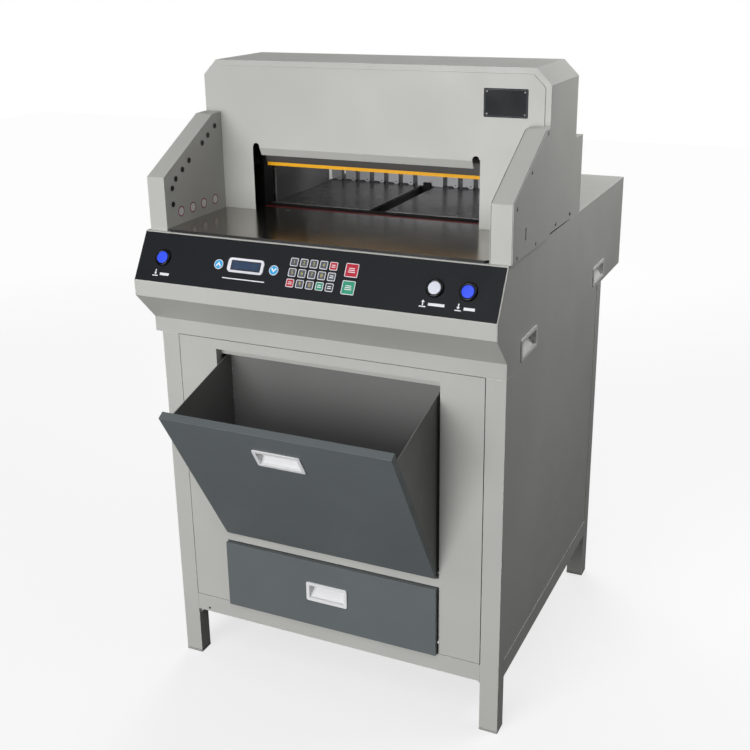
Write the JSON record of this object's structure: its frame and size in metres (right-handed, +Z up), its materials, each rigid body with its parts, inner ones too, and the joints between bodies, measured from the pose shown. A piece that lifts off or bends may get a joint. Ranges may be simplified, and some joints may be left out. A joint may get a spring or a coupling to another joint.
{
  "type": "programmable paper cutter",
  "caption": "Floor-standing electric paper guillotine with a control console, tilting waste bin, drawer and motor back gauge.",
  "frame": {"origin": "on the floor, under the middle of the machine's box with the bin open at rest", "axes": "+X to the right seen from the front, +Y to the back, +Z up"},
  "size_m": [0.7418, 1.062, 1.2545],
  "materials": {
    "light_paint": "smooth satin powder coat, warm light grey",
    "slate_paint": "satin slate grey paint",
    "white_plastic": "moulded white plastic",
    "overlay": "black printed membrane sheet",
    "blue_button": "glossy blue plastic",
    "white_button": "glossy white plastic",
    "key_plastic": "embossed membrane keys",
    "display_frame": "silver plastic",
    "display_glass": "dark display window",
    "black_plastic": "black plastic",
    "board": "green circuit board",
    "zinc": "bright zinc plated steel",
    "table_steel": "ground and polished steel",
    "casting": "black painted cast iron",
    "knife_steel": "ground tool steel",
    "comb_alloy": "bead blasted aluminium",
    "clamp_steel": "blackened steel",
    "yellow_strip": "yellow plastic strip",
    "red_stick": "dark red plastic",
    "drive_paint": "grey machine paint"
  },
  "bodies": {
    "root": {"front_left_leg": "light_paint", "front_right_leg": "light_paint", "rear_left_leg": "light_paint", "rear_right_leg": "light_paint", "lower_cross_rails": "light_paint", "lower_side_rails": "light_paint", "upper_cross_rails": "light_paint", "upper_side_rails": "light_paint", "front_panel": "light_paint", "side_panels": "light_paint", "rear_panel": "light_paint", "body_left_side": "light_paint", "body_right_side": "light_paint", "console_shell": "light_paint", "top_deck": "light_paint", "base_pan": "light_paint", "rear_cover": "light_paint", "head_shell": "light_paint", "head_front_plate": "light_paint", "head_rear_cover": "light_paint", "left_guard": "light_paint", "right_guard": "light_paint", "left_grips": "white_plastic", "right_grips": "white_plastic", "control_overlay": "overlay", "membrane_keys": "key_plastic", "display_bezel": "display_frame", "display_screen": "display_glass", "button_switches": "black_plastic", "power_inlet": "black_plastic", "control_board": "board", "bin_pins": "zinc", "drawer_runners": "zinc", "front_table": "table_steel", "rear_table_left": "table_steel", "rear_table_right": "table_steel", "side_gauges": "table_steel", "table_base": "casting", "press_frame": "clamp_steel", "cutting_stick": "red_stick", "drive_unit": "drive_paint", "clamp_drive": "drive_paint", "gauge_motor": "drive_paint"},
    "waste_bin": {"bin_front": "slate_paint", "bin_body": "slate_paint", "bin_handle": "white_plastic"},
    "drawer": {"drawer_front": "slate_paint", "drawer_box": "slate_paint", "drawer_slides": "zinc", "drawer_handle": "white_plastic"},
    "knife": {"knife_beam": "clamp_steel", "knife_blade": "knife_steel"},
    "clamp": {"clamp_beam": "clamp_steel", "clamp_strip": "yellow_strip"},
    "back_gauge": {"gauge_comb": "comb_alloy", "gauge_carriage": "casting"},
    "lead_screw": {"gauge_screw": "zinc"},
    "left_button": {"left_cut_button": "blue_button"},
    "middle_button": {"clamp_button": "white_button"},
    "right_button": {"right_cut_button": "blue_button"}
  },
  "joints": [
    {"name": "bin_tilt", "type": "hinge", "parent": "root", "child": "waste_bin", "pos_m": [0.0066, -0.31605, 0.328], "axis": [-1, 0, 0], "range_deg": [0, 31]},
    {"name": "drawer_slide", "type": "slide", "parent": "root", "child": "drawer", "axis": [0, -1, 0], "range_m": [0, 0.3]},
    {"name": "knife_stroke", "type": "slide", "parent": "root", "child": "knife", "axis": [0.3393, 0, -0.9407], "range_m": [0, 0.09727]},
    {"name": "clamp_stroke", "type": "slide", "parent": "root", "child": "clamp", "axis": [0, 0, -1], "range_m": [0, 0.084]},
    {"name": "gauge_slide", "type": "slide", "parent": "root", "child": "back_gauge", "axis": [0, 1, 0], "range_m": [-0.262, 0.165]},
    {"name": "screw_turn", "type": "hinge", "parent": "root", "child": "lead_screw", "pos_m": [-0.01, 0.24295, 0.91], "axis": [0, 1, 0], "range_deg": [-9432, 5940]},
    {"name": "left_button_press", "type": "slide", "parent": "root", "child": "left_button", "axis": [0, 0.8584, -0.513], "range_m": [0, 0.003], "stiffness_N_per_m": 900, "springref_m": -0.001},
    {"name": "middle_button_press", "type": "slide", "parent": "root", "child": "middle_button", "axis": [0, 0.8584, -0.513], "range_m": [0, 0.003], "stiffness_N_per_m": 900, "springref_m": -0.001},
    {"name": "right_button_press", "type": "slide", "parent": "root", "child": "right_button", "axis": [0, 0.8584, -0.513], "range_m": [0, 0.003], "stiffness_N_per_m": 900, "springref_m": -0.001}
  ],
  "couplings": [
    {"joint": "screw_turn", "follows": "gauge_slide", "rad_per_m": 628.32}
  ]
}
